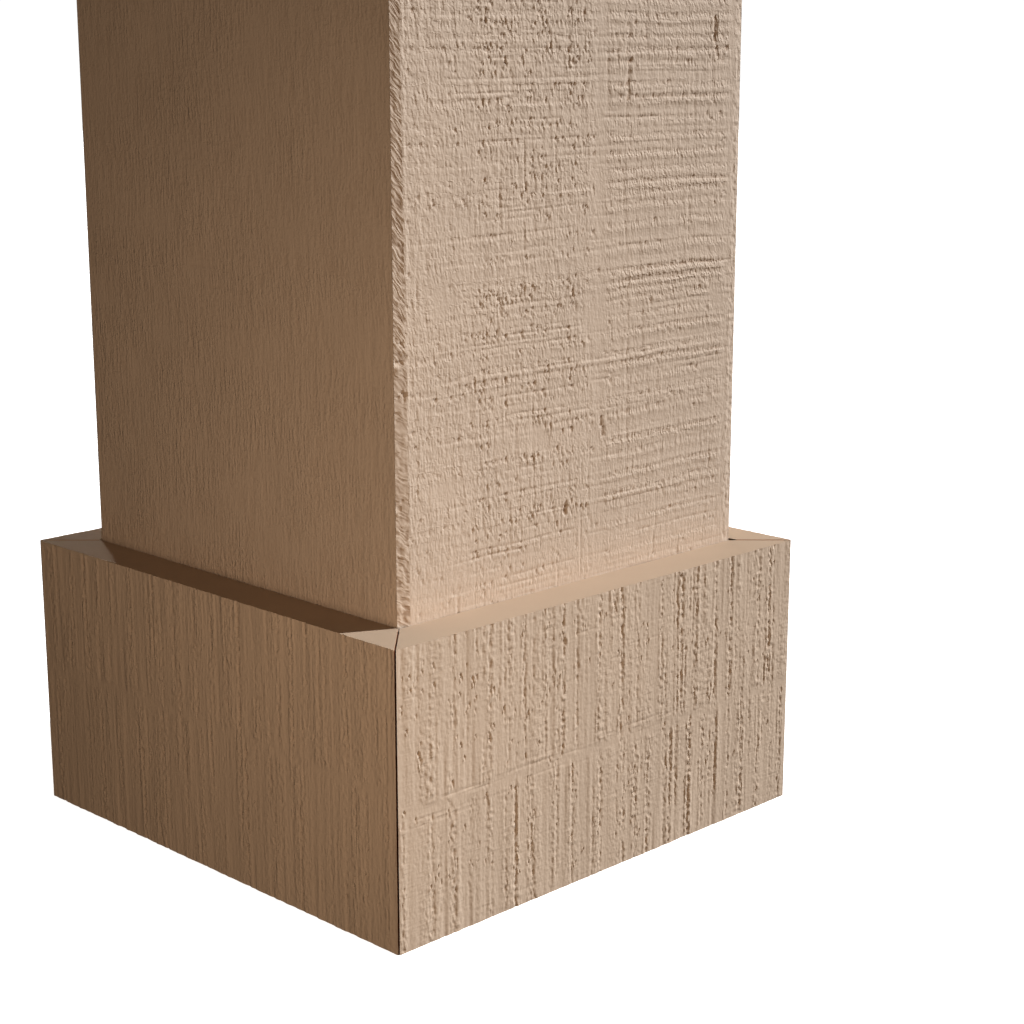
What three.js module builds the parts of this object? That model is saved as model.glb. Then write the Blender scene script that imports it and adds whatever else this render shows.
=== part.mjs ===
import * as THREE from 'three';

// A square column wrap: four mitred shaft boards round a hollow, and four mitred base boards
// standing round their foot. Millimetres, +Z up, origin on the floor under the column's axis.
// The eased front board faces -Y.

// Shaft
const shaftWidth = 254;
const shaftHeight = 1000;
const shaftBoardThickness = 25.4;
const shaftJointGap = 0.3;

// The front shaft board's face slopes back along both of its long edges.
const easedStripWidth = 5.6;
const easedStripDepth = 1.3;

// Base
const baseWidth = 304.8;
const baseHeight = 155;
const baseClearance = 1.6;
const baseJointGap = 1.2;

const shaftHalf = shaftWidth / 2;
const hollowHalf = shaftHalf - shaftBoardThickness;
const baseHalf = baseWidth / 2;
const baseInsideHalf = shaftHalf + baseClearance;

const squareEnd = { stripWidth: 0, stripDepth: 0 };
const easedEnd = { stripWidth: easedStripWidth, stripDepth: easedStripDepth };
const besideEasedEnd = { ...squareEnd, shortBy: easedStripDepth };

const shaftFinish = { color: 0xc2a78d, roughness: 0.8, metalness: 0 };
const baseFinish = { color: 0xbda186, roughness: 0.8, metalness: 0 };

// Where the line through a along u meets the line through b along v.
function crossing(a, u, b, v) {
  const gap = new THREE.Vector2().subVectors(b, a);
  const t = gap.cross(v) / u.cross(v);
  return new THREE.Vector2().copy(a).addScaledVector(u, t);
}

// One end of a board that faces -Y, from its inside corner out to its face, for the end at +X.
// The mitre runs from the hollow's corner to the arris, and keeps back half of the joint's gap.
function mitredEnd(outerHalf, innerHalf, jointGap, end) {
  const along = new THREE.Vector2(1, 0);
  const insideCorner = new THREE.Vector2(innerHalf, -innerHalf);
  const arris = new THREE.Vector2(outerHalf - (end.shortBy ?? 0), -outerHalf + end.stripDepth);
  const mitre = new THREE.Vector2().subVectors(arris, insideCorner).normalize();
  const intoBoard = new THREE.Vector2(mitre.y, -mitre.x);
  const onMitre = new THREE.Vector2().copy(arris).addScaledVector(intoBoard, jointGap / 2);
  const inside = crossing(onMitre, mitre, insideCorner, along);
  if (end.stripWidth === 0) {
    return [inside, crossing(onMitre, mitre, arris, along)];
  }
  const stripStart = new THREE.Vector2(arris.x - end.stripWidth, -outerHalf);
  const strip = new THREE.Vector2().subVectors(arris, stripStart).normalize();
  return [inside, crossing(onMitre, mitre, arris, strip), stripStart];
}

// The plan of a board that faces -Y.
function boardPlan(outerHalf, innerHalf, jointGap, leftEnd, rightEnd) {
  const right = mitredEnd(outerHalf, innerHalf, jointGap, rightEnd);
  const left = mitredEnd(outerHalf, innerHalf, jointGap, leftEnd);
  const mirrored = left.map((p) => new THREE.Vector2(-p.x, p.y));
  return new THREE.Shape([...right.reverse(), ...mirrored]);
}

// An upright board on the floor, turned about the column's axis to its own side.
function board(name, plan, height, quarterTurns, finish) {
  const geometry = new THREE.ExtrudeGeometry(plan, { depth: height, bevelEnabled: false });
  const mesh = new THREE.Mesh(geometry, new THREE.MeshStandardMaterial(finish));
  mesh.name = name;
  mesh.rotation.z = (quarterTurns * Math.PI) / 2;
  return mesh;
}

// The sides in order round the column, with the ends of each shaft board seen from outside.
const sides = [
  { side: 'front', leftEnd: easedEnd, rightEnd: easedEnd },
  { side: 'right', leftEnd: besideEasedEnd, rightEnd: squareEnd },
  { side: 'back', leftEnd: squareEnd, rightEnd: squareEnd },
  { side: 'left', leftEnd: squareEnd, rightEnd: besideEasedEnd },
];

const columnWrap = new THREE.Group();
sides.forEach(({ side, leftEnd, rightEnd }, quarterTurns) => {
  const shaftPlan = boardPlan(shaftHalf, hollowHalf, shaftJointGap, leftEnd, rightEnd);
  const basePlan = boardPlan(baseHalf, baseInsideHalf, baseJointGap, squareEnd, squareEnd);
  columnWrap.add(board(`shaft_board_${side}`, shaftPlan, shaftHeight, quarterTurns, shaftFinish));
  columnWrap.add(board(`base_board_${side}`, basePlan, baseHeight, quarterTurns, baseFinish));
});

export default columnWrap;
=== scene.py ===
import math
import bmesh
import bpy
import numpy as np
from mathutils import Matrix, Vector


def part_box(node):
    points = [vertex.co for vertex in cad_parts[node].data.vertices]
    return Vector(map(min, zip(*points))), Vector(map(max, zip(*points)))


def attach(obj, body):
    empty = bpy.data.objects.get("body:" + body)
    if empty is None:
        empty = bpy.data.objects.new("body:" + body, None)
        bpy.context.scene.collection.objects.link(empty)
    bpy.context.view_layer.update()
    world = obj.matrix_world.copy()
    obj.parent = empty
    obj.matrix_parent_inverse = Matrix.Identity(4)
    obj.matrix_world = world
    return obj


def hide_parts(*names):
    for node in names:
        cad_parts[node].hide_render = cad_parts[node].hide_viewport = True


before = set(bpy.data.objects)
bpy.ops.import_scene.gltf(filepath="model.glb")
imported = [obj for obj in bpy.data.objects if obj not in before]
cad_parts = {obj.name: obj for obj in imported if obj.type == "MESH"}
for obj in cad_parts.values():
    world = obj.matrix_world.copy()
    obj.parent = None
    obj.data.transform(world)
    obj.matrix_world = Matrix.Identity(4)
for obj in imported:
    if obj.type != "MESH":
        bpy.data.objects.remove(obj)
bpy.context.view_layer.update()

# A square column wrap of rough-sawn, primed boards: four round the shaft and four round its foot.
# Blender works in metres here. Relief and marks are given in millimetres, as a maker would.
# On each board, across runs left to right as seen from outside, up is the height above the floor,
# and relief stands out of the face.

mm = 0.001


def ease(t):
    t = np.clip(t, 0, 1)
    return t * t * (3 - 2 * t)


def between(x, low, high, soft):  # 1 from low to high, with soft sides
    return ease((x - low) / soft + 0.5) * ease((high - x) / soft + 0.5)


def roughness(across, up, cellAcross, cellUp, seed):  # smooth noise from -1 to 1 on a stretched lattice
    size = 512
    lattice = np.random.default_rng(seed).uniform(-1, 1, (size, size))
    x = across / cellAcross + size
    y = up / cellUp + size
    column = np.floor(x).astype(int)
    row = np.floor(y).astype(int)
    fx = ease(x - column)
    fy = ease(y - row)
    near = lattice[row % size, column % size] * (1 - fx) + lattice[row % size, (column + 1) % size] * fx
    far = lattice[(row + 1) % size, column % size] * (1 - fx) + lattice[(row + 1) % size, (column + 1) % size] * fx
    return near * (1 - fy) + far * fy


def unevenness(x, cell, seed):  # the same along a line
    lattice = np.random.default_rng(seed).uniform(-1, 1, 4096)
    place = x / cell + 1000
    whole = np.floor(place).astype(int)
    part = ease(place - whole)
    return lattice[whole % 4096] * (1 - part) + lattice[(whole + 1) % 4096] * part


def spaced(*stretches):  # grid lines through (start, end, number of cells) one after the other
    lines = [stretches[0][0]]
    for start, end, cells in stretches:
        lines.extend(start + (end - start) * (k + 1) / cells for k in range(cells))
    return np.array(lines)


class Face:
    # The outer face of a board as rows and columns of points
    def __init__(self, columns, levels, seed):
        self.across, self.level = np.meshgrid(columns, levels)
        self.up = self.level.copy()
        self.relief = np.zeros_like(self.across)
        self.tearing = np.zeros_like(self.across)  # where the saw tore the fibre out
        self.strand = self.across.copy()  # across, as the fine fibre runs
        self.row = self.level / 2.8  # climbs by a jump at each row of teeth
        self.columns = columns
        self.levels = levels
        self.seed = seed
        self.random = np.random.default_rng(seed)

    def noise(self, cellAcross, cellUp, turn=0):
        self.seed += 1
        if turn:
            c, s = math.cos(math.radians(turn)), math.sin(math.radians(turn))
            return roughness(self.across * c + self.up * s, self.up * c - self.across * s, cellAcross, cellUp, self.seed)
        return roughness(self.across, self.up, cellAcross, cellUp, self.seed)

    def noiseAcross(self, cell):
        self.seed += 1
        return unevenness(self.columns, cell, self.seed)

    def nick(self, across, up, length, depth, lean=0.0):  # a cut one column wide
        rows = np.nonzero(np.abs(self.levels - up) < length / 2)[0]
        for row in rows:
            t = (self.levels[row] - up) / (length / 2)
            column = int(np.argmin(np.abs(self.columns - across - lean * (self.levels[row] - up))))
            if 0 < column < len(self.columns) - 1:
                self.relief[row, column] -= depth * (1 - t * t)

    def slit(self, across, top, foot, depth, lean):  # a split with ragged sides
        self.seed += 1
        rows = np.nonzero((self.levels <= top) & (self.levels >= foot))[0]
        middle = (top + foot) / 2
        side = across + 0.75 * unevenness(self.levels, 3.6, self.seed) + lean * (self.levels - middle)
        bite = depth * np.clip(0.9 + 0.5 * unevenness(self.levels, 2.6, self.seed + 7), 0.35, 1.3)
        for row in rows:
            column = int(np.argmin(np.abs(self.columns - side[row])))
            self.relief[row, column] -= bite[row]
            self.relief[row, column + 1] -= bite[row] * 0.4
            self.relief[row, column - 1] += bite[row] * 0.2

    def calm(self, across, up, wide, tall, keep):  # a rubbed spot
        r = np.sqrt(((self.across - across) / wide) ** 2 + ((self.up - up) / tall) ** 2)
        kept = keep + (1 - keep) * ease(r * (1 + 0.4 * self.noise(6, 6)) * 0.9 - 0.35)
        self.relief *= kept
        self.tearing *= kept

    def fibres(self, lean, sway, edges):
        # The fine fibre leans and sways a little, and starts partly afresh at each pass of the saw
        up = self.level
        climb = np.clip(up - 190, 0, 120)
        leant = lean * (climb ** 2 / 240 + np.maximum(up - 310, 0))
        self.strand = self.across + leant + sway * self.noise(75, 48) + 0.5 * self.noise(9, 14)
        place = up + 1.3 * self.noise(2.4, 40) + 0.9 * self.noise(20, 60)
        self.row = up / 4.4 + 0.4 * np.searchsorted(np.array(sorted(edges)), place)

    def tear(self, across, top, length, depth, lean):  # a fibre torn out downwards from a pass of the saw
        rows = np.nonzero((self.levels <= top) & (self.levels > top - length))[0]
        for row in rows:
            t = (top - self.levels[row]) / length
            column = int(np.argmin(np.abs(self.columns - across - lean * (top - self.levels[row]))))
            if 1 < column < len(self.columns) - 2:
                self.relief[row, column] -= depth * (1 - t) ** 0.6
                self.relief[row, column - 1] += depth * (0.55 * t - 0.35 * (1 - t) ** 3)

    def hollows(self, reach):  # how far each point lies below what is round it
        total = np.zeros_like(self.relief)
        padded = np.pad(self.relief, reach, mode="edge")
        rows, columns = self.relief.shape
        for i in range(2 * reach + 1):
            for j in range(2 * reach + 1):
                total += padded[i:i + rows, j:j + columns]
        return total / (2 * reach + 1) ** 2 - self.relief


def kerfLevels(start, end, pitch, spread, random):  # heights of the saw's passes
    levels = []
    height = start
    while height < end:
        levels.append(height)
        height += pitch + spread * random.uniform(-1, 1)
    return levels


def sawKerf(face, level, depth, weight, torn, undercut=1.9, lip=3.4):
    # The saw's step: a soft undercut with a burr over it, and a lip below; weight and torn run across the board
    level = face.levels[np.argmin(np.abs(face.levels - level))]
    rows = slice(*np.searchsorted(face.levels, (level - 10, level + 5)))
    drift = 0.45 * face.noiseAcross(8) + 0.35 * face.noiseAcross(1.7)
    t = face.levels[rows][:, None] - level - drift
    groove = ease(-t / undercut) * (1 - ease((-t - undercut) / lip))
    burr = 0.5 * np.exp(-((t - 0.6) / 1.2) ** 2) + np.exp(-((t + undercut + lip) / 1.6) ** 2)
    face.relief[rows] += depth * (0.25 * burr - groove) * weight
    face.tearing[rows] += np.exp(-((t + undercut + 1.0) / 2.2) ** 2) * torn


def sawScratch(face, level, start, end, depth):  # a level line one row high
    row = int(np.argmin(np.abs(face.levels - level)))
    span = between(face.columns, start, end, 3) * np.clip(0.75 + 0.6 * face.noiseAcross(5), 0.15, 1.2)
    face.relief[row] -= depth * span
    face.relief[row - 1] += depth * span * 0.25


def boardMesh(name, face, board, turns, finishes):
    # A unit slab first: a fine grid in front, a coarse one behind, and the rims between them
    rows, columns = face.across.shape
    lastRow = rows - 1
    lastColumn = columns - 1
    shape = bmesh.new()
    bmesh.ops.create_grid(shape, x_segments=lastColumn, y_segments=lastRow, size=0.5)
    rim = [edge for edge in shape.edges if edge.is_boundary]
    grown = bmesh.ops.extrude_edge_only(shape, edges=rim)["geom"]
    behind = [v for v in grown if isinstance(v, bmesh.types.BMVert)]
    bmesh.ops.translate(shape, verts=behind, vec=(0, 0, -1))
    kept = set(range(0, lastRow, 20)) | {lastRow}
    keptAcross = set(range(0, lastColumn, 20)) | {lastColumn}
    spare = []
    for v in behind:
        row = round((v.co.y + 0.5) * lastRow)
        column = round((v.co.x + 0.5) * lastColumn)
        onSide = column in (0, lastColumn)
        onEnd = row in (0, lastRow)
        if (onSide and row not in kept) or (onEnd and not onSide and column not in keptAcross):
            spare.append(v)
    bmesh.ops.dissolve_verts(shape, verts=spare)
    back = [edge for edge in shape.edges if edge.is_boundary]
    bmesh.ops.grid_fill(shape, edges=back)
    bmesh.ops.recalc_face_normals(shape, faces=shape.faces)
    stripSide = board.get("stripColumns", 0) / lastColumn - 0.5
    for f in shape.faces:
        f.smooth = f.normal.z > 0.5
        f.material_index = 0 if f.smooth else (2 if abs(f.normal.y) > 0.5 else 1)
        if f.smooth and f.calc_center_median().x < stripSide:
            f.material_index = 3
    for edge in rim:
        edge.smooth = False  # a crisp rim

    # Then each point goes to its place on the real board
    half = board["half"]
    inner = board["inner"]
    leftGap, rightGap = (gap / 2 * math.sqrt(2) for gap in board["gaps"])
    hollow = face.hollows(2)
    outer = half - board["recess"](face) + face.relief * board["fade"](face)
    layers = {"hollow": hollow, "tearing": face.tearing, "strand": face.strand, "row": face.row}
    layers = {shape.verts.layers.float.new(key): field for key, field in layers.items()}
    columnsUnit = np.linspace(-0.5, 0.5, columns)
    rowsUnit = np.linspace(-0.5, 0.5, rows)
    leftEnd, rightEnd = face.columns[0], face.columns[-1]
    for v in shape.verts:
        if v.co.z > -0.5:
            row = round((v.co.y + 0.5) * lastRow)
            column = round((v.co.x + 0.5) * lastColumn)
            for layer, field in layers.items():
                v[layer] = field[row, column]
            v.co = (face.across[row, column], -outer[row, column], face.up[row, column])
        else:
            across = np.interp(v.co.x, columnsUnit, face.columns)
            up = np.interp(v.co.y, rowsUnit, face.levels)
            share = (across - leftEnd) / (rightEnd - leftEnd)
            v.co = ((leftGap - inner) * (1 - share) + (inner - rightGap) * share, -inner, up)
    bmesh.ops.scale(shape, verts=shape.verts, vec=(mm, mm, mm))
    bmesh.ops.rotate(shape, verts=shape.verts, cent=(0, 0, 0), matrix=Matrix.Rotation(turns * math.pi / 2, 3, "Z"))
    mesh = bpy.data.meshes.new(name)
    shape.to_mesh(mesh)
    shape.free()
    for finish in finishes:
        mesh.materials.append(finish)
    piece = bpy.data.objects.new(name, mesh)
    bpy.context.scene.collection.objects.link(piece)
    triangles = sum(len(p.vertices) - 2 for p in mesh.polygons)
    print(f"{name}: {rows} rows of {columns} points, {triangles} triangles")
    return piece


# The finishes

class Value:
    # A socket that adds its own Math node when it meets + - * or /
    def __init__(self, finish, socket):
        self.finish = finish
        self.socket = socket

    def math(self, operation, first, second):
        return self.finish.node("ShaderNodeMath", {"operation": operation}, {0: first, 1: second})

    def __add__(self, other):
        return self.math("ADD", self, other)

    def __radd__(self, other):
        return self.math("ADD", other, self)

    def __sub__(self, other):
        return self.math("SUBTRACT", self, other)

    def __rsub__(self, other):
        return self.math("SUBTRACT", other, self)

    def __mul__(self, other):
        return self.math("MULTIPLY", self, other)

    def __rmul__(self, other):
        return self.math("MULTIPLY", other, self)


class Finish:
    def __init__(self, name):
        self.material = bpy.data.materials.new(name)
        self.material.use_nodes = True
        self.tree = self.material.node_tree
        self.tree.nodes.clear()
        self.coordinates = self.node("ShaderNodeTexCoord", {}, {}, "Object")

    def node(self, kind, settings, inputs, output=0):
        made = self.tree.nodes.new(kind)
        for key, setting in settings.items():
            setattr(made, key, setting)
        for key, given in inputs.items():
            if isinstance(given, Value):
                self.tree.links.new(given.socket, made.inputs[key])
            else:
                made.inputs[key].default_value = given
        return Value(self, made.outputs[output])

    def stretched(self, cellAcross, cellUp, shift=0.0):  # object coordinates in cells of that many millimetres
        scale = (1000 / cellAcross, 1000 / cellAcross, 1000 / cellUp)
        inputs = {"Vector": self.coordinates, "Location": (shift, shift * 0.7, shift * 1.3), "Scale": scale}
        return self.node("ShaderNodeMapping", {}, inputs)

    def noise(self, cellAcross, cellUp, detail=2.0, rough=0.5, shift=0.0):
        inputs = {"Vector": self.stretched(cellAcross, cellUp, shift), "Scale": 1.0, "Detail": detail,
                  "Roughness": rough}
        return self.node("ShaderNodeTexNoise", {}, inputs)

    def step(self, value, low, high, start=0.0, end=1.0):
        inputs = {"Value": value, "From Min": low, "From Max": high, "To Min": start, "To Max": end}
        return self.node("ShaderNodeMapRange", {"interpolation_type": "SMOOTHSTEP"}, inputs)

    def attribute(self, name):
        return self.node("ShaderNodeAttribute", {"attribute_name": name}, {}, "Fac")

    def mixed(self, factor, first, second, blend="MIX"):
        return self.node("ShaderNodeMix", {"data_type": "RGBA", "blend_type": blend}, {0: factor, 6: first, 7: second}, 2)

    def finished(self, inputs):
        shader = self.node("ShaderNodeBsdfPrincipled", {}, inputs)
        output = self.tree.nodes.new("ShaderNodeOutputMaterial")
        self.tree.links.new(shader.socket, output.inputs["Surface"])
        return self.material


primer = {
    "shaftColor": (0.54, 0.40, 0.295, 1.0),
    "baseColor": (0.534, 0.388, 0.277, 1.0),
    # painted shade: the base's top and bottom ends are darker and warmer than its faces, to tone down the light on the
    # ledge tops
    "ledgeShadedColor": (0.46, 0.318, 0.211, 1.0),
    # the mitre faces: the cut core's brown, made brighter and more saturated as painted light in the joints
    "coreAndBounceColor": (0.60, 0.31, 0.17, 1.0),
    # the colour of the painted shade in hollows and between fibres
    "hollowShadeColor": (0.60, 0.51, 0.43, 1.0),
    "roughness": 0.82,
    "crispness": 0.9,
}

# How strongly each rough face shows its fine relief, in millimetres over the whole range of each noise,
# and how strongly painted shade darkens its hollows and the low parts of its fibre
shaftSawn = {"hair": 0.56, "longHair": 0.38, "levelMarks": 0.14, "specks": 0.26,
             "cavity": (0.53, 0.66), "cavityShare": 0.12, "shadeMask": (0.06, 0.36), "paintedShade": 0.9}
shaftSmooth = {"hair": 0.69, "longHair": 0.67, "levelMarks": 0.30, "specks": 0.28,
               "cavity": (0.40, 0.62), "cavityShare": 0.5, "shadeMask": (0.03, 0.32), "paintedShade": 0.15}
baseSawn = {"hair": 0.13, "longHair": 0.18, "levelMarks": 0.24, "specks": 0.38,
            "cavity": (0.53, 0.66), "cavityShare": 0.12, "shadeMask": (0.05, 0.34), "paintedShade": 0.8}
baseSmooth = {"hair": 0.70, "longHair": 0.70, "levelMarks": 0.4, "specks": 0.45,
              "cavity": (0.45, 0.64), "cavityShare": 0.25, "shadeMask": (0.03, 0.32), "paintedShade": 0.28}

hewn = {"strokeCell": 1.7, "strokeLength": 4.0, "patchCell": 4.4, "patchLength": 3.0, "depth": 0.64,
        "patchDepth": 0.78, "wobble": 3.4, "turnsOver": (262, 305), "footOver": (198, 216), "slopeLow": 0.55, "slopeHigh": 1.2}


def roughPrimer(name, color, marks):
    finish = Finish(name)
    tearing = finish.attribute("tearing")
    hollow = finish.attribute("hollow")
    strand = finish.attribute("strand")
    row = finish.attribute("row")

    def fibres(cell, pace, shift, detail):  # upright strokes
        place = {"X": strand * (1 / cell) + shift, "Y": shift, "Z": row * pace}
        vector = finish.node("ShaderNodeCombineXYZ", {}, place)
        return finish.node("ShaderNodeTexNoise", {}, {"Vector": vector, "Scale": 1.0, "Detail": detail})

    hair = fibres(1.35, 1.25, 3.1, 0.5)
    longHair = fibres(1.5, 0.26, 17.3, 0.0)
    specks = fibres(1.5, 2.3, 11.3, 0.5)
    levelMarks = finish.noise(7.0, 1.3, 1.0, 0.5, 7.7)
    amount = 0.35 + tearing * 0.65
    fine = (hair * marks["hair"] + longHair * marks["longHair"] + levelMarks * marks["levelMarks"]
            + specks * marks["specks"])
    height = fine * amount - hollow * primer["crispness"]
    normal = finish.node("ShaderNodeBump", {}, {"Strength": 1.0, "Distance": mm, "Height": height})
    mottle = finish.step(finish.noise(38.0, 60.0, 3.0, 0.55, 1.9), 0.3, 0.7)
    darker = tuple(c * 0.955 for c in color[:3]) + (1.0,)
    toned = finish.mixed(mottle, darker, color)
    # painted shade: hollows and the low parts of the fibre get a darker, browner colour
    cavity = finish.step(1 - hair * 0.5 - longHair * 0.5, *marks["cavity"]) * amount
    shadeMask = finish.step(hollow * 0.75 + cavity * marks["cavityShare"], *marks["shadeMask"], 0.0, marks["paintedShade"])
    paintedShade = tuple(c * t for c, t in zip(color[:3], primer["hollowShadeColor"][:3])) + (1.0,)
    shaded = finish.mixed(shadeMask, toned, paintedShade)
    matte = finish.step(hair, 0.3, 0.7, primer["roughness"] - 0.05, primer["roughness"] + 0.06)
    return finish.finished({"Base Color": shaded, "Roughness": matte, "Normal": normal})


def hewnEdge(name, color):
    # Slanting strokes down the front board's left eased edge, level and lumpy towards its foot, with painted shade
    # between them
    finish = Finish(name)
    hollow = finish.attribute("hollow")
    x = finish.node("ShaderNodeSeparateXYZ", {}, {0: finish.coordinates}, "X") * 1000 + 123.5
    z = finish.node("ShaderNodeSeparateXYZ", {}, {0: finish.coordinates}, "Z") * 1000
    slope = finish.step(z, *hewn["turnsOver"], hewn["slopeLow"], hewn["slopeHigh"])
    across = z + x * slope + finish.noise(5.0, 5.0, 0.0, 0.5, 2.3) * hewn["wobble"]
    place = {"X": across * (1 / hewn["strokeCell"]), "Y": 4.2, "Z": x * (1 / hewn["strokeLength"])}
    vector = finish.node("ShaderNodeCombineXYZ", {}, place)
    strokes = finish.node("ShaderNodeTexNoise", {}, {"Vector": vector, "Scale": 1.0, "Detail": 0.6})
    place = {"X": across * (1 / hewn["patchCell"]), "Y": 8.6, "Z": x * (1 / hewn["patchLength"])}
    vector = finish.node("ShaderNodeCombineXYZ", {}, place)
    patches = finish.node("ShaderNodeTexNoise", {}, {"Vector": vector, "Scale": 1.0, "Detail": 0.5})
    force = finish.step(z, *hewn["turnsOver"], 0.5, 1.0) + finish.step(z, *hewn["footOver"], 0.45, 0.0)
    height = (strokes * hewn["depth"] + patches * hewn["patchDepth"]) * force - hollow * primer["crispness"]
    normal = finish.node("ShaderNodeBump", {}, {"Strength": 1.0, "Distance": mm, "Height": height})
    # painted shade: the low parts of the strokes and patches get a darker, browner colour
    shadeMask = finish.step(1 - strokes * 0.5 - patches * 0.5, 0.47, 0.62, 0.0, 0.8) * force
    paintedShade = tuple(c * t for c, t in zip(color[:3], primer["hollowShadeColor"][:3])) + (1.0,)
    return finish.finished({"Base Color": finish.mixed(shadeMask, color, paintedShade), "Roughness": 0.84, "Normal": normal})


def plainPrimer(name, color):
    finish = Finish(name)
    grain = finish.noise(1.4, 5.0, 3.0, 0.6)
    height = grain * 0.02
    normal = finish.node("ShaderNodeBump", {}, {"Strength": 1.0, "Distance": mm, "Height": height})
    mottle = finish.step(finish.noise(30.0, 40.0, 3.0, 0.55, 1.9), 0.3, 0.7)
    darker = tuple(c * 0.96 for c in color[:3]) + (1.0,)
    toned = finish.mixed(mottle, darker, color)
    matte = finish.step(grain, 0.3, 0.7, 0.74, 0.82)
    return finish.finished({"Base Color": toned, "Roughness": matte, "Normal": normal})


def sawnEnd(name, color):
    finish = Finish(name)
    grain = finish.noise(0.7, 0.7, 2.0, 0.6)
    lines = finish.noise(1.6, 30.0, 1.0, 0.5, 2.2)
    height = grain * 0.05 + lines * 0.04
    normal = finish.node("ShaderNodeBump", {}, {"Strength": 1.0, "Distance": mm, "Height": height})
    mottle = finish.step(finish.noise(14.0, 14.0, 3.0, 0.55, 1.9), 0.3, 0.7)
    darker = tuple(c * 0.94 for c in color[:3]) + (1.0,)
    toned = finish.mixed(mottle, darker, color)
    return finish.finished({"Base Color": toned, "Roughness": 0.82, "Normal": normal})


shaftRough = roughPrimer("shaft rough sawn primer", primer["shaftColor"], shaftSawn)
shaftFine = roughPrimer("shaft fine sawn primer", primer["shaftColor"], shaftSmooth)
shaftHewn = hewnEdge("shaft hewn edge primer", primer["shaftColor"])
baseRough = roughPrimer("base rough sawn primer", primer["baseColor"], baseSawn)
baseFine = roughPrimer("base fine sawn primer", primer["baseColor"], baseSmooth)
shaftPlain = plainPrimer("shaft plain primer", primer["shaftColor"])
# the ledge tops, in their painted-shade colour
basePlain = plainPrimer("base plain primer", primer["ledgeShadedColor"])
# the mitre faces, partly the core's own colour and partly painted light bounced in the joints
baseCoreAndBounce = plainPrimer("base bare mitre", primer["coreAndBounceColor"])
shaftEnd = sawnEnd("shaft sawn end", primer["shaftColor"])
print("Finishes made")


# The shaft boards

shaftLow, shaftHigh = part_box("shaft_board_front")
baseLow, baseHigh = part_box("base_board_front")
shaftHalf = round(-shaftLow.y / mm, 3)
shaftInner = round(-shaftHigh.y / mm, 3)
shaftTop = round(shaftHigh.z / mm, 3)
baseHalf = round(-baseLow.y / mm, 3)
baseInner = round(-baseHigh.y / mm, 3)
baseTop = round(baseHigh.z / mm, 3)

easedStrip = {"cells": 6, "widthHigh": 5.4, "widthLow": 7.4, "leftDepth": 1.3, "rightDepth": 0.55}
shaftJoint = 0.05


def stripWidth(face):
    return np.interp(face.level, (160, 420), (easedStrip["widthLow"], easedStrip["widthHigh"]))


def easedRecess(face):
    width = stripWidth(face)
    depth = np.where(face.across < 0, easedStrip["leftDepth"], easedStrip["rightDepth"])
    return np.clip((np.abs(face.across) - shaftHalf + width) / width, 0, 1) * depth


def stripFollows(face):
    # The grid lines beside each strip move with the strip's width
    nominal = easedStrip["widthHigh"]
    wider = stripWidth(face) - nominal
    edge = shaftHalf - np.abs(face.across)
    share = np.clip(edge / nominal, 0, 1) * np.clip((36 - edge) / (36 - nominal), 0, 1)
    face.across -= np.sign(face.across) * wider * share


def noRecess(face):
    return np.zeros_like(face.across)


def meetsAtArris(face, reach):  # relief dies away at the ends of the rows, so that neighbours meet
    edge = np.minimum(face.across - face.columns[0], face.columns[-1] - face.across)
    return ease(edge / reach + 0.12) * (edge > 0)


shaftFront = {
    "seed": 11,
    "kerfDepth": 0.36,
    "fibreDepth": 0.12,
    "tearDepth": 0.49,
    # heights of the kerfs that can be told apart, from the ledge up
    "kerfs": [160, 167.5, 176, 184, 195, 201, 210.5, 222, 230, 243.7, 251, 261, 270, 276, 286.5, 295, 304, 309,
              313.5, 319, 331, 342.5, 353, 359, 364, 370.5, 379, 387.5, 397, 407.5, 414, 425, 431.5, 438,
              444, 449.5],
    "strongKerfs": [201, 230, 270, 286.5, 313.5, 319, 342.5, 364, 387.5, 407.5, 414, 431.5, 438, 449.5],
}


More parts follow.
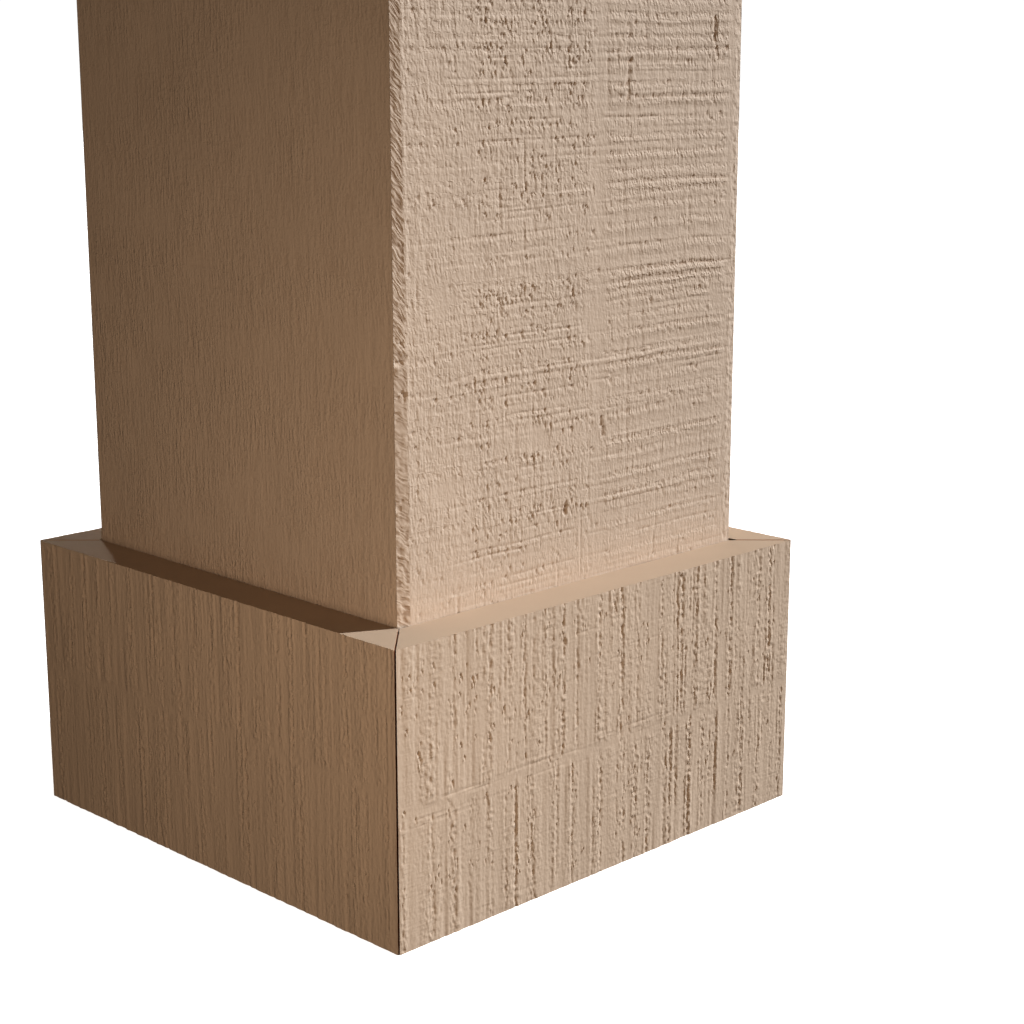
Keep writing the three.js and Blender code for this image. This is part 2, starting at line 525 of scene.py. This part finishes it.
def shaftFaceFront(s):
    random = np.random.default_rng(s["seed"])
    below = kerfLevels(14, 152, 8.3, 2.6, random)
    above = kerfLevels(s["kerfs"][-1] + 7, shaftTop - 4, 8.3, 2.6, random)
    kerfs = below + s["kerfs"] + above
    strip = shaftHalf - easedStrip["widthHigh"]
    end = shaftHalf - shaftJoint / math.sqrt(2)
    cells = easedStrip["cells"]
    columns = spaced((-end, -strip, cells), (-strip, -77, 34), (-77, 8, 84), (8, strip, 78), (strip, end, cells))
    rows = spaced((0, 146, 5), (146, 458, 284), (458, shaftTop, 180))
    face = Face(columns, rows, s["seed"] * 100)
    stripFollows(face)
    edges = [kerf + share * 8.3 + random.uniform(-0.6, 0.6) for kerf in kerfs for share in (0, 0.36, 0.7)]
    face.fibres(0.12, 3.4, edges)
    a, level = face.across, face.level
    wave = 1.0 * roughness(a, level, 75, 90, 5) + 0.45 * roughness(a, level, 22, 30, 6)
    face.up += wave * ease((level - 150) / 20) * ease((shaftTop - level) / 15)

    right = between(a, 20, 115, 7)
    middle = between(a, -77, 10, 8)
    left = between(a, -126, -79, 8)
    low = 0.35 + 0.65 * ease((level - 160) / 45)

    # upright fibre, in long and short strokes, and a little unevenness
    fibre = 0.5 * face.noise(2.6, 26) + 0.35 * face.noise(4.3, 60) + 0.5 * face.noise(2.2, 7) + 0.3 * face.noise(11, 130)
    face.relief += s["fibreDepth"] * fibre * (0.6 + 0.35 * middle + 0.25 * left) * low
    face.relief += 0.05 * face.noise(30, 40)
    face.tearing += (0.12 + 0.34 * left + 0.24 * middle + 0.06 * right) * low * (1 + 0.4 * face.noise(16, 22))
    face.tearing -= 0.32 * (1 - ease((level - 165) / 30))

    strands = np.cumsum(random.uniform(2.2, 4.4, 75)) - 122  # the fibres that the saw catches again and again
    for strand in strands:
        for k in range(random.poisson(6.3)):
            foot = random.uniform(150, shaftTop)
            face.nick(strand + random.uniform(-0.6, 0.6), foot, random.uniform(9, 52),
                      0.03 + 0.21 * random.uniform() ** 2, random.uniform(-0.02, 0.02))

    for kerf in kerfs:
        strong = kerf in s["strongKerfs"] or random.uniform() < (0.35 if kerf > 456 else 0.0)
        force = random.uniform(0.62, 0.9) + (0.32 if strong else 0)
        steady = np.clip(0.85 + 0.3 * face.noiseAcross(25) + 0.15 * face.noiseAcross(2.5), 0.3, 1.3)
        broken = np.clip(0.7 + 0.5 * face.noiseAcross(16) + 0.5 * face.noiseAcross(2.2), 0.0, 1.6)
        broken = broken + (steady - broken) * right[0]
        zone = (0.82 * right + 0.36 * middle + 0.28 * left + 0.12)[0]
        fadeLow = 0.68 + 0.32 * ease((kerf - 165) / 40)
        sawKerf(face, kerf, s["kerfDepth"] * force * fadeLow, broken * zone,
                (1.15 * right + 0.55 * middle + 0.3 * left)[0] * force * broken)
        if kerf < 150:
            continue
        # thin level scratches
        for k in range(random.poisson(8)):
            start = random.uniform(-118, 90)
            sawScratch(face, kerf + random.uniform(-4.5, 4.5), start, start + random.uniform(10, 80),
                       random.uniform(0.04, 0.115) * (0.75 + 0.25 * fadeLow))
        # fibres torn out in rows that hang from the kerf and between the kerfs
        for top in (kerf - 0.5, kerf - random.uniform(3.2, 5.2)):
            chance = 0.54 * middle[0] + 0.18 * right[0] + 0.26 * left[0]
            patchy = np.clip(0.75 + 0.9 * face.noiseAcross(13), 0.0, 1.5)
            sawScratch(face, top, -80 + random.uniform(0, 30), 10 - random.uniform(0, 35), random.uniform(0.06, 0.16) * fadeLow)
            for strand in strands:
                if random.uniform() > np.interp(strand, columns, chance * patchy) * (0.75 + 0.3 * force):
                    continue
                torn = np.interp(strand, columns, middle[0])
                across = strand + random.uniform(-0.9, 0.9)
                length = random.uniform(1.8, 3.4) + torn * random.uniform(0.0, 1.4)
                depth = s["tearDepth"] * (0.22 + (0.92 + 0.25 * torn) * random.uniform() ** 1.4) * fadeLow
                face.tear(across, top + random.uniform(-0.6, 0.3), length, depth, random.uniform(0.0, 0.75))

    # the torn middle is uneven between the kerfs too
    face.relief += middle * low * (0.07 * face.noise(2.6, 3.6) + 0.06 * face.noise(5, 6))
    face.relief += (left + 0.7 * right) * low * 0.07 * face.noise(2.8, 3.4)

    # rubbed spots
    for across, up, wide, tall in ((10.5, 295, 9, 10), (-97, 314, 9, 8), (-96, 217, 9, 8), (109, 297, 8, 7), (-30, 237, 7, 8)):
        face.calm(across, up, wide, tall, 0.05)
    # long slits and gouges
    for across, top, foot, depth, lean in ((35, 446, 427, 0.28, 0.02), (35.5, 424, 404, 0.52, 0.05), (34.2, 418, 411, 0.36, 0.0),
                                           (104.5, 447, 426, 0.6, -0.06), (17.5, 241, 230, 0.5, -0.12), (8, 195, 182, 0.35, -0.22),
                                           (-10.5, 199, 191.5, 0.8, 0.08), (-9.5, 197, 192.5, 0.7, 0.08), (-21, 207, 198, 0.4, 0.0)):
        face.slit(across, top, foot, depth, lean)

    # the eased strips carry marks of their own, with knots low on the left one
    onStrip = ease((np.abs(a) - shaftHalf + stripWidth(face)) / 0.6 + 0.5)
    foot = 1 - ease((level - 200) / 14)
    knots = between(level, 258, 305, 10) + 0.5 * (1 - ease((level - 215) / 15)) - 0.5 * foot
    lumps = 0.17 * face.noise(5.0, 2.6, 30) - 0.42 * ease((face.noise(2.2, 2.3) - 0.42) * 3.4)
    lumps = lumps - 0.2 * (1 - ease((level - 235) / 15)) * ease((face.noise(7, 2.0) - 0.3) * 3)
    sided = np.where(a < 0, lumps * (0.3 + knots), 0.075 * face.noise(1.9, 14) + 0.24 * face.noise(1.8, 2.1))
    face.relief += onStrip * (sided - face.relief)
    face.relief += 0.16 * (1 - 0.8 * foot) * np.exp(-((shaftHalf + a - stripWidth(face) - 1.0) / 0.9) ** 2)
    face.tearing = np.clip(face.tearing + onStrip * 0.3, 0, 1.5)
    return face


faceOut = {"half": shaftHalf, "inner": shaftInner, "gaps": (shaftJoint, shaftJoint)}
boards = []

front = shaftFaceFront(shaftFront)
board = {**faceOut, "recess": easedRecess, "fade": lambda face: meetsAtArris(face, 1.6),
         "stripColumns": easedStrip["cells"]}
boards.append(boardMesh("shaft_front", front, board, 0, [shaftRough, shaftPlain, shaftEnd, shaftHewn]))


shaftSides = {
    "right": {"seed": 23, "turns": 1, "kerfDepth": 0.38, "cells": 126, "rowGap": (1.9, 2.4), "shortLeft": True,
              "shortRight": False, "torn": (-20, 70), "sawn": (-110, -25), "tearing": 1.0, "finer": 0.0, "patchy": 0.4, "scratches": []},
    "back": {"seed": 37, "turns": 2, "kerfDepth": 0.40, "cells": 126, "rowGap": (1.9, 2.4), "shortLeft": False,
             "shortRight": False, "torn": (-90, -10), "sawn": (0, 112), "tearing": 1.0, "finer": 0.0, "patchy": 0.4, "scratches": []},
    "left": {"seed": 53, "turns": 3, "kerfDepth": 0.06, "cells": 150, "rowGap": (1.45, 2.8), "shortLeft": False,
             "shortRight": True, "torn": (-55, 25), "sawn": (-120, -80), "tearing": 0.12, "finer": 0.10, "patchy": 1.0,
             "scratches": [(384, -45, 15), (375, -52, 10), (362, -40, 23), (320, -52, -5), (310, -30, 20), (289, -50, 12),
                           (236, -60, -20), (212, -45, 0)]},
}


def shaftFaceSide(s):
    random = np.random.default_rng(s["seed"])
    kerfs = kerfLevels(150, shaftTop - 4, 8.6, 2.8, random)
    end = shaftHalf - shaftJoint / math.sqrt(2)
    leftEnd = -end + (easedStrip["rightDepth"] if s["shortLeft"] else 0)
    rightEnd = end - (easedStrip["leftDepth"] if s["shortRight"] else 0)
    columns = spaced((leftEnd, rightEnd, s["cells"]))
    lowGap, highGap = s["rowGap"]
    rows = spaced((0, 146, 5), (146, 458, round(312 / lowGap)), (458, shaftTop, round((shaftTop - 458) / highGap)))
    face = Face(columns, rows, s["seed"] * 100)
    edges = [kerf + share * 8.6 + random.uniform(-0.6, 0.6) for kerf in kerfs for share in (0, 0.36, 0.7)]
    face.fibres(0.02, 2.0, edges)
    a, level = face.across, face.level
    wave = 1.1 * roughness(a, level, 75, 90, s["seed"]) + 0.35 * roughness(a, level, 22, 30, s["seed"] + 1)
    face.up += wave * ease((level - 150) / 20) * ease((shaftTop - level) / 15)
    torn = between(a, *s["torn"], 12)
    sawn = between(a, *s["sawn"], 10)
    fibre = 0.5 * face.noise(3.0, 26) + 0.4 * face.noise(5.0, 70) + 0.4 * face.noise(2.6, 11) + 0.3 * face.noise(12, 140)
    face.relief += 0.10 * fibre + 0.05 * face.noise(30, 40)
    face.tearing += 0.3 + s["tearing"] * (0.4 * torn + 0.2 * sawn) - s["finer"] * a / shaftHalf
    face.tearing *= np.clip(1 + (0.6 + 1.7 * face.noise(28, 20)) * s["patchy"], 0.1, 3)
    for level, start, end in s["scratches"]:
        sawScratch(face, level, start, end, 0.16)
    for kerf in kerfs:
        force = random.uniform(0.4, 1.15)
        broken = np.clip(0.6 + 0.75 * face.noiseAcross(14) + 0.35 * face.noiseAcross(4), 0, 1.3)
        sawKerf(face, kerf, s["kerfDepth"] * force, broken * (sawn + 0.4 * torn + 0.2)[0],
                (0.45 * sawn + 0.9 * torn + 0.1)[0] * force * s["tearing"])
        for k in range(random.poisson(14 * force * s["tearing"])):
            side = random.uniform(*s["torn"])
            face.tear(side, kerf + random.uniform(-0.8, 1.2), random.uniform(2.4, 5.0),
                      s["kerfDepth"] * random.uniform(0.5, 1.2), random.uniform(-0.2, 0.5))
    return face


for side, settings in shaftSides.items():
    face = shaftFaceSide(settings)
    board = {**faceOut, "recess": noRecess, "fade": lambda face: meetsAtArris(face, 1.6)}
    rough = shaftFine if side == "left" else shaftRough
    boards.append(boardMesh(f"shaft_{side}", face, board, settings["turns"], [rough, shaftPlain, shaftEnd]))
print("Shaft boards made")


# The base boards

baseBoards = {
    "front": {"gaps": (0.9, 1.5), "standsIn": 1.5, "pits": 60, "grain": 0.185, "seed": 71, "turns": 0, "cellAcross": 0.62, "cellUp": 0.9, "depth": 0.345, "seam": 72.5,
              "upper": [(-90, 0.5), (-77, 0.5), (-65, 0.6), (-50, 0.6), (-37, 1.1), (-27, 0.7), (-10, 0.7), (7, 1.0),
                        (20, 0.6), (40, 0.7), (56, 1.1), (68, 0.7), (85, 0.7), (98, 1.2), (123, 0.8), (133, 1.2)],
              "lower": [(-149, 0.6), (-130, 0.6), (-115, 1.0), (-89, 0.5), (-72, 1.1), (-60, 0.7), (-30, 0.9), (-9, 0.6),
                        (10, 0.8), (20, 0.7), (30, 0.7), (48, 0.7), (64, 1.4), (75, 0.6), (98, 0.6), (110, 1.3),
                        (125, 0.7), (146, 0.9)],
              "chips": [(-144, 140, 2.4, 0.5), (-144, 133, 2.4, 0.5), (-146, 113, 2.6, 0.5), (-128, 131, 6, 0.3),
                        (-128, 141, 5, 0.3), (-110, 132, 4.5, 0.6), (-102, 128, 6, 0.7), (-138, 96, 10, 0.65),
                        (-110, 97, 2.6, 0.5), (-108, 90, 2.6, 0.5), (-116, 78, 4.5, 0.5), (-148, 72, 2.0, 0.5),
                        (-88, 120, 4.5, 0.5)]},
    "right": {"gaps": (1.5, 1.2), "standsIn": -1.8, "pits": 12, "grain": 0.2, "seed": 83, "turns": 1, "cellAcross": 1.0, "cellUp": 1.25, "depth": 0.44, "seam": 96,
              "upper": [], "lower": [], "chips": []},
    "back": {"gaps": (1.2, 1.2), "standsIn": 0, "pits": 12, "grain": 0.2, "seed": 97, "turns": 2, "cellAcross": 1.0, "cellUp": 1.25, "depth": 0.44, "seam": 60,
             "upper": [], "lower": [], "chips": []},
    "left": {"gaps": (1.2, 0.9), "standsIn": 1.35, "pits": 10, "grain": 0.22, "seed": 101, "turns": 3, "cellAcross": 0.78, "cellUp": 0.98, "depth": 0.41, "seam": 83,
             "upper": [(-108, 1.0), (-65, 1.1), (-48, 0.7), (-25, 0.7), (-6, 0.7), (31, 0.8), (64, 0.7), (74, 0.8), (116, 0.9)],
             "lower": [(-140, 0.9), (-97, 1.0), (-58, 1.1), (-38, 0.8), (-18, 0.6), (-3, 0.7), (35, 1.0), (82, 0.6), (114, 0.5)],
             "chips": []},
}


def grainGroove(face, across, low, high, depth, force):
    # A crooked groove up the grain, with a lifted edge on either side and grit in it
    columns = slice(*np.searchsorted(face.columns, (across - 9, across + 9)))
    rows = slice(*np.searchsorted(face.levels, (low - 8, high + 8)))
    up = face.levels[rows]
    seed = face.random.integers(1, 10 ** 6)
    wide = face.random.uniform(0.7, 1.1) + 0.3 * force
    centre = across + 0.32 * unevenness(up, 13, seed) + 0.12 * unevenness(up, 2.6, seed + 1)
    t = face.columns[columns] - centre[:, None]
    span = between(up, low, high, 9)[:, None]
    bite = np.clip(0.8 + 0.55 * unevenness(up, 7, seed + 2) + 0.55 * unevenness(up, 1.8, seed + 4), 0, 1.6)[:, None]
    lift = np.clip(0.6 + 0.8 * unevenness(up, 8, seed + 3), 0.05, 1.4)[:, None]
    a, z = face.across[rows, columns], face.up[rows, columns]
    grit = roughness(a, z, 1.7, 1.8, seed + 6)
    crumbs = np.clip(0.6 + 1.4 * roughness(a, z, 2.0, 2.0, seed + 7), 0, 1.8)
    groove = np.exp(-np.abs(t / wide) ** 1.8)
    leftEdge = np.exp(-((t + wide + 0.9) / 0.85) ** 2) * 0.55
    rightEdge = np.exp(-((t - wide - 1.0) / 1.1) ** 2) * 0.4
    bump = lift * crumbs * (leftEdge + rightEdge) - groove * (0.78 * bite + 0.9 * grit)
    face.relief[rows, columns] += depth * force * span * bump
    torn = np.exp(-(t / (wide + 1.8)) ** 2) * span * force * 0.7
    face.tearing[rows, columns] = np.maximum(face.tearing[rows, columns], torn)
    for k in range(face.random.poisson((high - low) * force / 6)):  # fibres torn out of its sides
        top = face.random.uniform(low, high)
        side = across + face.random.uniform(-1.6, 1.6)
        face.tear(side, top, face.random.uniform(1.2, 3.4), depth * face.random.uniform(0.4, 1.1),
                  face.random.uniform(-0.2, 0.3))


def baseFace(s):
    random = np.random.default_rng(s["seed"])
    leftEnd, rightEnd = (baseHalf - gap / 2 * math.sqrt(2) for gap in s["gaps"])
    end = min(leftEnd, rightEnd)
    columns = spaced((-leftEnd, rightEnd, round(2 * end / s["cellAcross"])))
    rows = spaced((0.0, baseTop, round(baseTop / s["cellUp"])))
    face = Face(columns, rows, s["seed"] * 100)
    a, up = face.across, face.up
    seam = s["seam"] + 1.6 * roughness(a, a, 60, 60, s["seed"])
    above = ease((up - seam) / 5 + 0.2)
    under = ease((seam - up) / 5 - 0.2)

    face.fibres(0.02, 1.5, [])
    # grain that changes at the seam
    for part in (above, under):
        broad = np.clip(0.7 + 0.45 * face.noise(20, 90), 0.35, 1.2)
        ridges = 1.35 * face.noise(3.3, 80) + 0.6 * face.noise(1.9, 45)
        grain = ridges + 0.2 * face.noise(1.6, 7)
        crumbly = np.clip(0.25 + 1.3 * face.noise(5, 80), 0, 1.3)
        beads = np.clip(ridges + 0.35, 0, 1) * face.noise(3.0, 2.5)
        grain = grain + crumbly * (0.7 * face.noise(1.9, 1.9) + 0.85 * beads)
        face.relief += s["grain"] * part * broad * grain
        face.tearing += part * (0.15 + 0.5 * crumbly)
        low, high = (0, s["seam"] - 4) if part is under else (s["seam"] + 4, baseTop + 10)
        for k in range(60):
            foot = random.uniform(low - 10, high - 20)
            grainGroove(face, random.uniform(-end, end), foot, foot + random.uniform(18, 80), s["depth"],
                        random.uniform(0.2, 0.65))
    for across, force in s["upper"] or [(random.uniform(-end, end), random.uniform(0.6, 1.2)) for k in range(12)]:
        grainGroove(face, across, s["seam"] + 2, baseTop + 10, s["depth"], force)
    for across, force in s["lower"] or [(random.uniform(-end, end), random.uniform(0.6, 1.2)) for k in range(12)]:
        grainGroove(face, across, -10, s["seam"] - 4, s["depth"], force)
    # level scratches along the seam
    for k in range(64):
        onSeam = k < 30
        start = random.uniform(-end, 60 if onSeam else end)
        length = random.uniform(12, 45 if onSeam else 60)
        height = seam + (random.uniform(-9, 6) if onSeam else random.uniform(-s["seam"], baseTop - s["seam"]))
        row = int(np.argmin(np.abs(face.levels - height[0].mean())))
        near = slice(max(row - 6, 0), row + 7)
        mark = between(a[near], start, start + length, 6) * np.exp(-np.abs((up[near] - height[near]) / 0.45) ** 1.6)
        force = random.uniform(0.07, 0.15) if onSeam else random.uniform(0.03, 0.08)
        face.relief[near] -= force * mark * (0.7 + 0.6 * roughness(a[near], up[near], 4, 50, s["seed"] + k))
    for k in range(s["pits"]):
        face.tear(random.uniform(-end + 6, end - 4), random.uniform(6, baseTop - 6), random.uniform(1.6, 4.0),
                  random.uniform(0.3, 0.7), random.uniform(-0.3, 0.3))
    # chips that show in the upper left
    for across, up, length, depth in s["chips"]:
        face.tear(across, up + length / 2, length, depth, 0.1)
        face.tear(across + 0.6, up + length / 2 - 0.5, length * 0.8, depth * 0.8, 0.1)
    return face


for side, settings in baseBoards.items():
    face = baseFace(settings)
    board = {"half": baseHalf, "inner": baseInner - settings["standsIn"], "gaps": settings["gaps"],
             "recess": noRecess, "fade": lambda face: meetsAtArris(face, 3.0)}
    rough = baseFine if side == "left" else baseRough
    boards.append(boardMesh(f"base_{side}", face, board, settings["turns"], [rough, baseCoreAndBounce, basePlain]))
print("Base boards made")

for piece in boards:
    part, side = piece.name.split("_")
    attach(piece, "root")
    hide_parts(f"{part}_board_{side}")


# Floor, light and camera

surroundings = {
    "floorRadius": 9.0,
    "backdropHeight": 5.0,
    "floorGlow": 0.94,
    "underColumn": 0.152,
}


def staged(name, shape, finish):
    mesh = bpy.data.meshes.new(name)
    shape.to_mesh(mesh)
    shape.free()
    mesh.materials.append(finish)
    thing = bpy.data.objects.new(name.replace(" ", "_"), mesh)
    thing.visible_diffuse = False
    thing.visible_glossy = False
    bpy.context.scene.collection.objects.link(thing)
    return thing


def paleFloor():
    shape = bmesh.new()
    bmesh.ops.create_circle(shape, cap_ends=True, segments=96, radius=surroundings["floorRadius"])
    finish = Finish("pale floor")
    x = finish.node("ShaderNodeSeparateXYZ", {}, {0: finish.coordinates}, "X")
    y = finish.node("ShaderNodeSeparateXYZ", {}, {0: finish.coordinates}, "Y")
    furthest = x.math("MAXIMUM", x.math("ABSOLUTE", x, 0.0), y.math("ABSOLUTE", y, 0.0))
    open_ = finish.node("ShaderNodeMath", {"operation": "GREATER_THAN"}, {0: furthest, 1: surroundings["underColumn"]})
    glow = finish.mixed(open_, (0.0, 0.0, 0.0, 1.0), (1.0, 1.0, 1.0, 1.0))
    staged("pale floor", shape, finish.finished({"Base Color": (0.85, 0.85, 0.85, 1.0), "Roughness": 0.9,
                                                 "Emission Color": glow,
                                                 "Emission Strength": surroundings["floorGlow"]}))


def paleBackdrop():
    shape = bmesh.new()
    bmesh.ops.create_circle(shape, segments=96, radius=surroundings["floorRadius"])
    grown = bmesh.ops.extrude_edge_only(shape, edges=shape.edges)["geom"]
    up = [v for v in grown if isinstance(v, bmesh.types.BMVert)]
    bmesh.ops.translate(shape, verts=up, vec=(0, 0, surroundings["backdropHeight"]))
    finish = Finish("pale backdrop")
    backdrop = staged("pale backdrop", shape, finish.finished({"Base Color": (0.0, 0.0, 0.0, 1.0), "Roughness": 1.0,
                                                               "Emission Color": (1.0, 1.0, 1.0, 1.0),
                                                               "Emission Strength": 1.05}))
    backdrop.visible_shadow = False


paleFloor()
paleBackdrop()

studio = {
    "keyToward": (0.749, -0.398, 0.530),
    "keyStrength": 5.95,
    "keyColor": (0.872, 0.941, 1.0),
    "keyAngle": 1.2,
    "cardPlace": (-0.78, -0.62, 0.19),
    "cardToward": (-0.127, -0.127, 0.19),
    "cardSize": 0.25,
    "cardSpread": 70.0,
    "cardPower": 0.484,
    "cardColor": (1.0, 0.80, 0.60),
    "highCardPlace": (-1.2, 0.0, 0.97),
    "highCardToward": (-0.127, 0.0, 0.97),
    "highCardSize": 0.3,
    "highCardSpread": 42.0,
    "highCardPower": 0.27,
    "backToward": (0.44, 0.89, 0.08),
    "backStrength": 1.2,
    "backColor": (1.0, 0.86, 0.72),
    "backAngle": 5.0,
    "fillStrength": 0.10,
    "fillColor": (1.0, 0.78, 0.58),
}


def sun(name, toward, strength, color, angle):
    lamp = bpy.data.lights.new(name, "SUN")
    lamp.energy = strength
    lamp.color = color
    lamp.angle = math.radians(angle)
    placed = bpy.data.objects.new(name, lamp)
    placed.rotation_mode = "QUATERNION"
    placed.rotation_quaternion = Vector(toward).to_track_quat("Z", "Y")
    bpy.context.scene.collection.objects.link(placed)


def softCard(name, key):
    card = bpy.data.lights.new(name, "AREA")
    card.shape = "SQUARE"
    card.size = studio[key + "Size"]
    card.spread = math.radians(studio[key + "Spread"])
    card.energy = studio[key + "Power"]
    card.color = studio["cardColor"]
    placed = bpy.data.objects.new(name, card)
    placed.location = studio[key + "Place"]
    placed.rotation_mode = "QUATERNION"
    toward = Vector(studio[key + "Toward"]) - Vector(studio[key + "Place"])
    placed.rotation_quaternion = toward.to_track_quat("-Z", "Y")
    placed.visible_camera = False
    bpy.context.scene.collection.objects.link(placed)


def studioLight():
    sun("key", studio["keyToward"], studio["keyStrength"], studio["keyColor"], studio["keyAngle"])
    sun("back", studio["backToward"], studio["backStrength"], studio["backColor"], studio["backAngle"])
    softCard("fill card", "card")  # low, before the column's near corner
    softCard("high card", "highCard")  # level with the top of the left board
    world = bpy.data.worlds.new("studio")
    world.use_nodes = True
    background = world.node_tree.nodes["Background"]
    background.inputs["Color"].default_value = (*studio["fillColor"], 1.0)
    background.inputs["Strength"].default_value = studio["fillStrength"]
    bpy.context.scene.world = world


view = {"lens": 71.317, "place": (-0.75907, -0.83564, 0.43512), "yaw": 0.7845, "pitch": 0.2297}


def photographCamera():
    data = bpy.data.cameras.new("camera")
    data.sensor_width = 36.0
    data.lens = view["lens"]
    data.clip_start = 0.05
    data.clip_end = 60.0
    camera = bpy.data.objects.new("camera", data)
    level = math.cos(view["pitch"])
    forward = Vector((level * math.cos(view["yaw"]), level * math.sin(view["yaw"]), -math.sin(view["pitch"])))
    camera.location = view["place"]
    camera.rotation_mode = "QUATERNION"
    camera.rotation_quaternion = forward.to_track_quat("-Z", "Y")
    bpy.context.scene.collection.objects.link(camera)
    bpy.context.scene.camera = camera


studioLight()
photographCamera()
bpy.context.scene.view_settings.view_transform = "Standard"
print("Floor, light and camera made")
